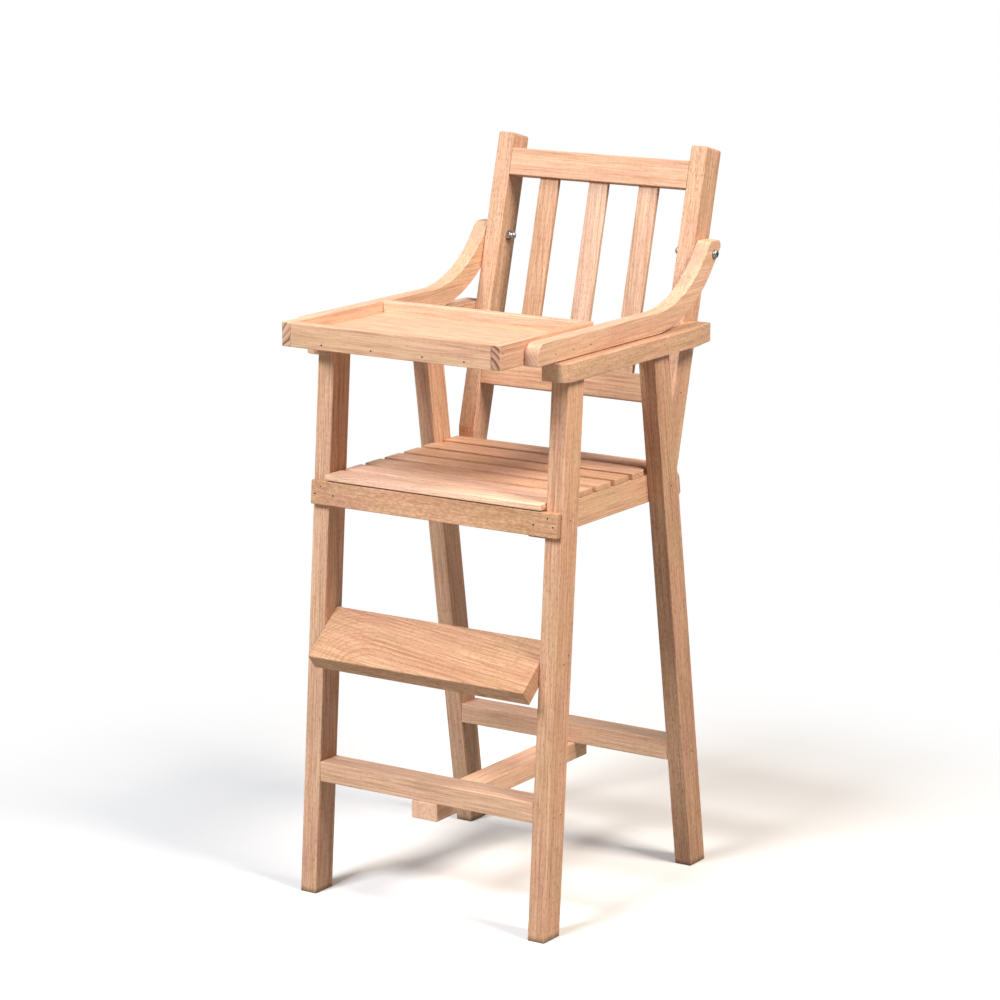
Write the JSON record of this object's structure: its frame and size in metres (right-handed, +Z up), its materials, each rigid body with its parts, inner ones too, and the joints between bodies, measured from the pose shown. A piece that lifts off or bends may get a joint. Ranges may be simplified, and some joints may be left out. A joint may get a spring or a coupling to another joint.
{
  "type": "doll high chair",
  "caption": "Tall wooden doll high chair with a slatted seat and back, armrests, a sloping footrest and a rimmed tray on bent arms that swings up and over the back.",
  "frame": {"origin": "on the floor, under the middle of the whole chair with its tray down", "axes": "+Z up, -Y to the front where the tray is, +X to the right as seen from the front"},
  "size_m": [0.244, 0.3266, 0.5888],
  "materials": {
    "beech": "sanded beech, unfinished, satin",
    "brads": "dull darkened steel wire pins",
    "bolts": "bright plated steel"
  },
  "bodies": {
    "chair": {"armrest_brads": "brads", "armrest_left": "beech", "armrest_right": "beech", "back_post_brads": "brads", "back_post_left": "beech", "back_post_right": "beech", "back_rail_brads": "brads", "back_slat_1": "beech", "back_slat_2": "beech", "back_slat_3": "beech", "bottom_back_rail": "beech", "footrest": "beech", "footrest_brads": "brads", "front_apron": "beech", "front_apron_brads": "brads", "front_leg_left": "beech", "front_leg_right": "beech", "front_stretcher": "beech", "middle_bar": "beech", "middle_bar_brads": "brads", "pivot_bolt_left": "bolts", "pivot_bolt_right": "bolts", "pivot_nut_left": "bolts", "pivot_nut_right": "bolts", "rear_apron": "beech", "rear_apron_brads": "brads", "rear_leg_left": "beech", "rear_leg_right": "beech", "rear_stretcher": "beech", "seat_slat_1": "beech", "seat_slat_2": "beech", "seat_slat_3": "beech", "seat_slat_4": "beech", "seat_slat_5": "beech", "seat_slat_6": "beech", "seat_slat_7": "beech", "side_rail_brads": "brads", "side_rail_left": "beech", "side_rail_right": "beech", "stretcher_brads": "brads", "top_back_rail": "beech"},
    "tray": {"tray_arm_brads": "brads", "tray_arm_left": "beech", "tray_arm_right": "beech", "tray_front_rim": "beech", "tray_panel": "beech", "tray_panel_brads": "brads", "tray_rear_rim": "beech", "tray_rim_brads": "brads", "tray_side_rim_left": "beech", "tray_side_rim_right": "beech"}
  },
  "joints": [
    {"name": "tray_swing", "type": "hinge", "parent": "chair", "child": "tray", "pos_m": [0, 0.13132, 0.5046], "axis": [-1, 0, 0], "range_deg": [0, 280]}
  ]
}
